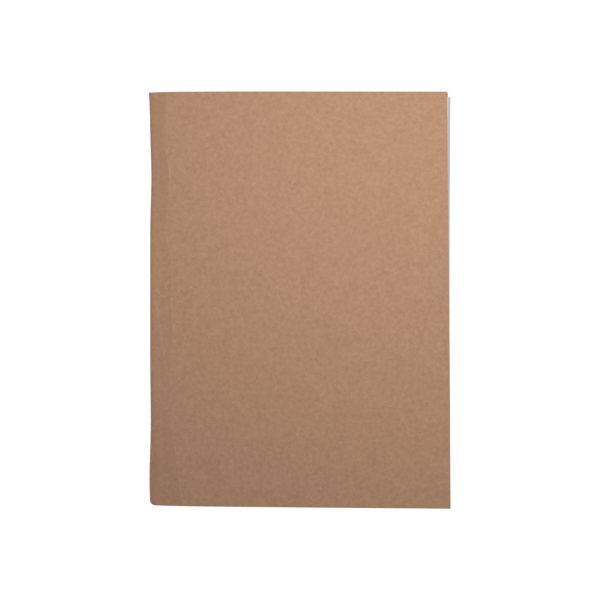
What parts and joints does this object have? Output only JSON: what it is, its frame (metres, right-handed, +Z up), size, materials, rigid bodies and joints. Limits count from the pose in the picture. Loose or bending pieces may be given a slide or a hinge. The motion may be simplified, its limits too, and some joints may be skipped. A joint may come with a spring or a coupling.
{
  "type": "notepad",
  "caption": "Slim soft-cover notepad for writing: blank sheets folded and nested in a plain brown kraft card cover, held by wire staples through the spine, opening like a book.",
  "frame": {"origin": "middle of the face the closed notepad lies on", "axes": "+Z up from the table through the closed notepad, +Y towards the head of the pages, +X from the spine towards the fore-edge"},
  "size_m": [0.148, 0.205, 0.0057],
  "materials": {
    "kraft_card": "matt uncoated kraft card",
    "white_paper": "matt uncoated paper",
    "staple_wire": "bright steel wire"
  },
  "bodies": {
    "back_half": {"back_cover": "kraft_card", "upper_staple": "staple_wire", "lower_staple": "staple_wire", "sheet_fold_01": "white_paper", "sheet_fold_02": "white_paper", "sheet_fold_03": "white_paper", "sheet_fold_04": "white_paper", "sheet_fold_05": "white_paper", "sheet_fold_06": "white_paper", "sheet_fold_07": "white_paper", "sheet_fold_08": "white_paper", "sheet_fold_09": "white_paper", "sheet_fold_10": "white_paper", "sheet_fold_11": "white_paper", "sheet_fold_12": "white_paper", "sheet_fold_13": "white_paper", "sheet_fold_14": "white_paper", "sheet_fold_15": "white_paper", "sheet_fold_16": "white_paper"},
    "front_half": {"cover_hinge_strip": "kraft_card", "leaf_01": "white_paper"},
    "front_cover": {"front_cover": "kraft_card"},
    "leaf_02": {"leaf_02": "white_paper"},
    "leaf_03": {"leaf_03": "white_paper"},
    "leaf_04": {"leaf_04": "white_paper"},
    "leaf_05": {"leaf_05": "white_paper"},
    "leaf_06": {"leaf_06": "white_paper"},
    "leaf_07": {"leaf_07": "white_paper"},
    "leaf_08": {"leaf_08": "white_paper"},
    "leaf_09": {"leaf_09": "white_paper"},
    "leaf_10": {"leaf_10": "white_paper"},
    "leaf_11": {"leaf_11": "white_paper"},
    "leaf_12": {"leaf_12": "white_paper"},
    "leaf_13": {"leaf_13": "white_paper"},
    "leaf_14": {"leaf_14": "white_paper"},
    "leaf_15": {"leaf_15": "white_paper"},
    "leaf_16": {"leaf_16": "white_paper"},
    "leaf_17": {"leaf_17": "white_paper"},
    "leaf_18": {"leaf_18": "white_paper"},
    "leaf_19": {"leaf_19": "white_paper"},
    "leaf_20": {"leaf_20": "white_paper"},
    "leaf_21": {"leaf_21": "white_paper"},
    "leaf_22": {"leaf_22": "white_paper"},
    "leaf_23": {"leaf_23": "white_paper"},
    "leaf_24": {"leaf_24": "white_paper"},
    "leaf_25": {"leaf_25": "white_paper"},
    "leaf_26": {"leaf_26": "white_paper"},
    "leaf_27": {"leaf_27": "white_paper"},
    "leaf_28": {"leaf_28": "white_paper"},
    "leaf_29": {"leaf_29": "white_paper"},
    "leaf_30": {"leaf_30": "white_paper"},
    "leaf_31": {"leaf_31": "white_paper"},
    "leaf_32": {"leaf_32": "white_paper"}
  },
  "joints": [
    {"name": "centre_opening", "type": "hinge", "parent": "back_half", "child": "front_half", "pos_m": [-0.07061, 0, 0.00286], "axis": [0, -1, 0], "range_deg": [0, 178]},
    {"name": "front_cover_opening", "type": "hinge", "parent": "front_half", "child": "front_cover", "pos_m": [-0.065, 0, 0.00592], "axis": [0, -1, 0], "range_deg": [0, 178]},
    {"name": "turn_leaf_02", "type": "hinge", "parent": "back_half", "child": "leaf_02", "pos_m": [-0.07061, 0, 0.00286], "axis": [0, -1, 0], "range_deg": [0, 178]},
    {"name": "turn_leaf_03", "type": "hinge", "parent": "back_half", "child": "leaf_03", "pos_m": [-0.07061, 0, 0.00286], "axis": [0, -1, 0], "range_deg": [0, 178]},
    {"name": "turn_leaf_04", "type": "hinge", "parent": "back_half", "child": "leaf_04", "pos_m": [-0.07061, 0, 0.00286], "axis": [0, -1, 0], "range_deg": [0, 178]},
    {"name": "turn_leaf_05", "type": "hinge", "parent": "back_half", "child": "leaf_05", "pos_m": [-0.07061, 0, 0.00286], "axis": [0, -1, 0], "range_deg": [0, 178]},
    {"name": "turn_leaf_06", "type": "hinge", "parent": "back_half", "child": "leaf_06", "pos_m": [-0.07061, 0, 0.00286], "axis": [0, -1, 0], "range_deg": [0, 178]},
    {"name": "turn_leaf_07", "type": "hinge", "parent": "back_half", "child": "leaf_07", "pos_m": [-0.07061, 0, 0.00286], "axis": [0, -1, 0], "range_deg": [0, 178]},
    {"name": "turn_leaf_08", "type": "hinge", "parent": "back_half", "child": "leaf_08", "pos_m": [-0.07061, 0, 0.00286], "axis": [0, -1, 0], "range_deg": [0, 178]},
    {"name": "turn_leaf_09", "type": "hinge", "parent": "back_half", "child": "leaf_09", "pos_m": [-0.07061, 0, 0.00286], "axis": [0, -1, 0], "range_deg": [0, 178]},
    {"name": "turn_leaf_10", "type": "hinge", "parent": "back_half", "child": "leaf_10", "pos_m": [-0.07061, 0, 0.00286], "axis": [0, -1, 0], "range_deg": [0, 178]},
    {"name": "turn_leaf_11", "type": "hinge", "parent": "back_half", "child": "leaf_11", "pos_m": [-0.07061, 0, 0.00286], "axis": [0, -1, 0], "range_deg": [0, 178]},
    {"name": "turn_leaf_12", "type": "hinge", "parent": "back_half", "child": "leaf_12", "pos_m": [-0.07061, 0, 0.00286], "axis": [0, -1, 0], "range_deg": [0, 178]},
    {"name": "turn_leaf_13", "type": "hinge", "parent": "back_half", "child": "leaf_13", "pos_m": [-0.07061, 0, 0.00286], "axis": [0, -1, 0], "range_deg": [0, 178]},
    {"name": "turn_leaf_14", "type": "hinge", "parent": "back_half", "child": "leaf_14", "pos_m": [-0.07061, 0, 0.00286], "axis": [0, -1, 0], "range_deg": [0, 178]},
    {"name": "turn_leaf_15", "type": "hinge", "parent": "back_half", "child": "leaf_15", "pos_m": [-0.07061, 0, 0.00286], "axis": [0, -1, 0], "range_deg": [0, 178]},
    {"name": "turn_leaf_16", "type": "hinge", "parent": "back_half", "child": "leaf_16", "pos_m": [-0.07061, 0, 0.00286], "axis": [0, -1, 0], "range_deg": [0, 178]},
    {"name": "turn_leaf_17", "type": "hinge", "parent": "back_half", "child": "leaf_17", "pos_m": [-0.07061, 0, 0.00286], "axis": [0, -1, 0], "range_deg": [0, 178]},
    {"name": "turn_leaf_18", "type": "hinge", "parent": "back_half", "child": "leaf_18", "pos_m": [-0.07061, 0, 0.00286], "axis": [0, -1, 0], "range_deg": [0, 178]},
    {"name": "turn_leaf_19", "type": "hinge", "parent": "back_half", "child": "leaf_19", "pos_m": [-0.07061, 0, 0.00286], "axis": [0, -1, 0], "range_deg": [0, 178]},
    {"name": "turn_leaf_20", "type": "hinge", "parent": "back_half", "child": "leaf_20", "pos_m": [-0.07061, 0, 0.00286], "axis": [0, -1, 0], "range_deg": [0, 178]},
    {"name": "turn_leaf_21", "type": "hinge", "parent": "back_half", "child": "leaf_21", "pos_m": [-0.07061, 0, 0.00286], "axis": [0, -1, 0], "range_deg": [0, 178]},
    {"name": "turn_leaf_22", "type": "hinge", "parent": "back_half", "child": "leaf_22", "pos_m": [-0.07061, 0, 0.00286], "axis": [0, -1, 0], "range_deg": [0, 178]},
    {"name": "turn_leaf_23", "type": "hinge", "parent": "back_half", "child": "leaf_23", "pos_m": [-0.07061, 0, 0.00286], "axis": [0, -1, 0], "range_deg": [0, 178]},
    {"name": "turn_leaf_24", "type": "hinge", "parent": "back_half", "child": "leaf_24", "pos_m": [-0.07061, 0, 0.00286], "axis": [0, -1, 0], "range_deg": [0, 178]},
    {"name": "turn_leaf_25", "type": "hinge", "parent": "back_half", "child": "leaf_25", "pos_m": [-0.07061, 0, 0.00286], "axis": [0, -1, 0], "range_deg": [0, 178]},
    {"name": "turn_leaf_26", "type": "hinge", "parent": "back_half", "child": "leaf_26", "pos_m": [-0.07061, 0, 0.00286], "axis": [0, -1, 0], "range_deg": [0, 178]},
    {"name": "turn_leaf_27", "type": "hinge", "parent": "back_half", "child": "leaf_27", "pos_m": [-0.07061, 0, 0.00286], "axis": [0, -1, 0], "range_deg": [0, 178]},
    {"name": "turn_leaf_28", "type": "hinge", "parent": "back_half", "child": "leaf_28", "pos_m": [-0.07061, 0, 0.00286], "axis": [0, -1, 0], "range_deg": [0, 178]},
    {"name": "turn_leaf_29", "type": "hinge", "parent": "back_half", "child": "leaf_29", "pos_m": [-0.07061, 0, 0.00286], "axis": [0, -1, 0], "range_deg": [0, 178]},
    {"name": "turn_leaf_30", "type": "hinge", "parent": "back_half", "child": "leaf_30", "pos_m": [-0.07061, 0, 0.00286], "axis": [0, -1, 0], "range_deg": [0, 178]},
    {"name": "turn_leaf_31", "type": "hinge", "parent": "back_half", "child": "leaf_31", "pos_m": [-0.07061, 0, 0.00286], "axis": [0, -1, 0], "range_deg": [0, 178]},
    {"name": "turn_leaf_32", "type": "hinge", "parent": "back_half", "child": "leaf_32", "pos_m": [-0.07061, 0, 0.00286], "axis": [0, -1, 0], "range_deg": [0, 178]}
  ],
  "couplings": [
    {"joint": "turn_leaf_02", "follows": "centre_opening", "ratio": 0.99333},
    {"joint": "turn_leaf_03", "follows": "centre_opening", "ratio": 0.98667},
    {"joint": "turn_leaf_04", "follows": "centre_opening", "ratio": 0.98},
    {"joint": "turn_leaf_05", "follows": "centre_opening", "ratio": 0.97333},
    {"joint": "turn_leaf_06", "follows": "centre_opening", "ratio": 0.96667},
    {"joint": "turn_leaf_07", "follows": "centre_opening", "ratio": 0.96},
    {"joint": "turn_leaf_08", "follows": "centre_opening", "ratio": 0.95333},
    {"joint": "turn_leaf_09", "follows": "centre_opening", "ratio": 0.94667},
    {"joint": "turn_leaf_10", "follows": "centre_opening", "ratio": 0.94},
    {"joint": "turn_leaf_11", "follows": "centre_opening", "ratio": 0.93333},
    {"joint": "turn_leaf_12", "follows": "centre_opening", "ratio": 0.92667},
    {"joint": "turn_leaf_13", "follows": "centre_opening", "ratio": 0.92},
    {"joint": "turn_leaf_14", "follows": "centre_opening", "ratio": 0.91333},
    {"joint": "turn_leaf_15", "follows": "centre_opening", "ratio": 0.90667},
    {"joint": "turn_leaf_16", "follows": "centre_opening", "ratio": 0.9},
    {"joint": "turn_leaf_17", "follows": "centre_opening", "ratio": 0.1},
    {"joint": "turn_leaf_18", "follows": "centre_opening", "ratio": 0.09467},
    {"joint": "turn_leaf_19", "follows": "centre_opening", "ratio": 0.08933},
    {"joint": "turn_leaf_20", "follows": "centre_opening", "ratio": 0.084},
    {"joint": "turn_leaf_21", "follows": "centre_opening", "ratio": 0.07867},
    {"joint": "turn_leaf_22", "follows": "centre_opening", "ratio": 0.07333},
    {"joint": "turn_leaf_23", "follows": "centre_opening", "ratio": 0.068},
    {"joint": "turn_leaf_24", "follows": "centre_opening", "ratio": 0.06267},
    {"joint": "turn_leaf_25", "follows": "centre_opening", "ratio": 0.05733},
    {"joint": "turn_leaf_26", "follows": "centre_opening", "ratio": 0.052},
    {"joint": "turn_leaf_27", "follows": "centre_opening", "ratio": 0.04667},
    {"joint": "turn_leaf_28", "follows": "centre_opening", "ratio": 0.04133},
    {"joint": "turn_leaf_29", "follows": "centre_opening", "ratio": 0.036},
    {"joint": "turn_leaf_30", "follows": "centre_opening", "ratio": 0.03067},
    {"joint": "turn_leaf_31", "follows": "centre_opening", "ratio": 0.02533},
    {"joint": "turn_leaf_32", "follows": "centre_opening", "ratio": 0.02}
  ]
}
